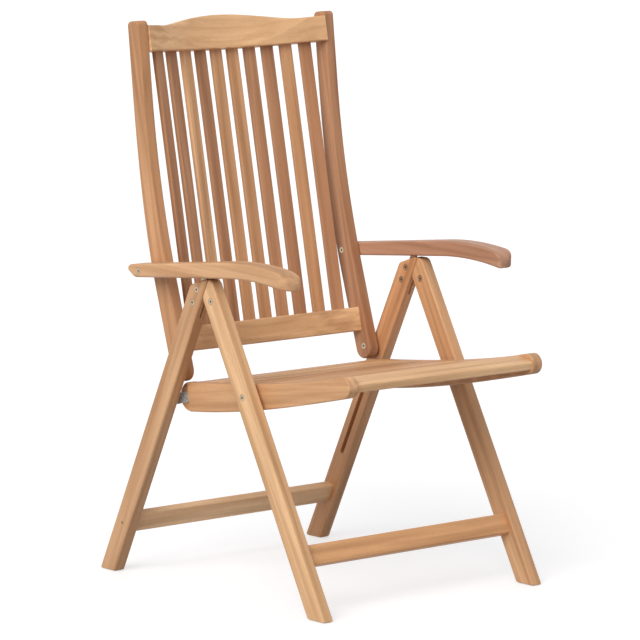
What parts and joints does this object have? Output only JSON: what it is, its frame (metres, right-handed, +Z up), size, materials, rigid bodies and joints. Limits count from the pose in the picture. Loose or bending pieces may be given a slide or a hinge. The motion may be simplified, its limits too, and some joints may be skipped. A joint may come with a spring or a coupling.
{
  "type": "folding reclining chair",
  "caption": "Wooden folding armchair with crossed legs, slatted seat and high slatted back that reclines as its arms slide over notches.",
  "frame": {"origin": "on the floor, under the middle of the open chair's bounding box", "axes": "+X to the sitter's left, -Y to the front, +Z up"},
  "size_m": [0.612, 0.742, 1.1305],
  "materials": {
    "frame_wood": "oiled teak, satin",
    "seat_wood": "oiled teak, satin",
    "back_wood": "oiled teak, satin",
    "arm_wood": "oiled teak, satin",
    "pin_wood": "dark end grain",
    "steel": "satin"
  },
  "bodies": {
    "rear_frame": {"arm_support_pins": "steel", "back_pivot_bolts": "steel", "back_pivot_washers": "steel", "hinge_plate_bolts": "steel", "hinge_plate_left": "steel", "hinge_plate_right": "steel", "rear_leg_left": "frame_wood", "rear_leg_right": "frame_wood", "rear_stretcher": "frame_wood", "rear_tenon_pins": "pin_wood"},
    "front_frame": {"front_leg_left": "frame_wood", "front_leg_right": "frame_wood", "front_stretcher": "frame_wood", "front_tenon_pins": "pin_wood", "leg_hinge_bolts": "steel", "seat_pivot_bolts": "steel", "seat_pivot_spacers": "steel"},
    "seat": {"bracket_screws": "steel", "seat_rail_left": "seat_wood", "seat_rail_right": "seat_wood", "seat_slat_1": "seat_wood", "seat_slat_2": "seat_wood", "seat_slat_3": "seat_wood", "seat_slat_4": "seat_wood", "seat_slat_5": "seat_wood", "seat_slat_6": "seat_wood", "seat_slat_7": "seat_wood", "seat_slat_8": "seat_wood", "seat_slat_9": "seat_wood", "seat_slide_bracket_left": "steel", "seat_slide_bracket_right": "steel"},
    "back": {"arm_pivot_bolt_left": "steel", "arm_pivot_bolt_right": "steel", "back_bottom_rail": "back_wood", "back_slat_01": "back_wood", "back_slat_02": "back_wood", "back_slat_03": "back_wood", "back_slat_04": "back_wood", "back_slat_05": "back_wood", "back_slat_06": "back_wood", "back_slat_07": "back_wood", "back_slat_08": "back_wood", "back_slat_09": "back_wood", "back_slat_10": "back_wood", "back_stile_left": "back_wood", "back_stile_right": "back_wood", "back_top_rail": "back_wood"},
    "left_arm": {"arm_left": "arm_wood", "arm_notch_rail_left": "steel", "arm_rail_screws_left": "steel"},
    "right_arm": {"arm_notch_rail_right": "steel", "arm_rail_screws_right": "steel", "arm_right": "arm_wood"}
  },
  "joints": [
    {"name": "leg_fold", "type": "hinge", "parent": "rear_frame", "child": "front_frame", "pos_m": [0, 0.00714, 0.59179], "axis": [1, 0, 0], "range_deg": [0, 50]},
    {"name": "seat_fold", "type": "hinge", "parent": "front_frame", "child": "seat", "pos_m": [0, -0.09067, 0.41163], "axis": [1, 0, 0], "range_deg": [-92.2, 0]},
    {"name": "back_recline", "type": "hinge", "parent": "rear_frame", "child": "back", "pos_m": [0, 0.14777, 0.43874], "axis": [-1, 0, 0], "range_deg": [0, 35]},
    {"name": "left_arm_swing", "type": "hinge", "parent": "back", "child": "left_arm", "pos_m": [0, 0.21868, 0.63354], "axis": [-1, 0, 0], "range_deg": [-22.61, 0]},
    {"name": "right_arm_swing", "type": "hinge", "parent": "back", "child": "right_arm", "pos_m": [0, 0.21868, 0.63354], "axis": [-1, 0, 0], "range_deg": [-22.61, 0]}
  ],
  "couplings": [
    {"joint": "seat_fold", "follows": "leg_fold", "ratio": -1.834},
    {"joint": "left_arm_swing", "follows": "back_recline", "ratio": -0.6317},
    {"joint": "right_arm_swing", "follows": "back_recline", "ratio": -0.6317}
  ]
}
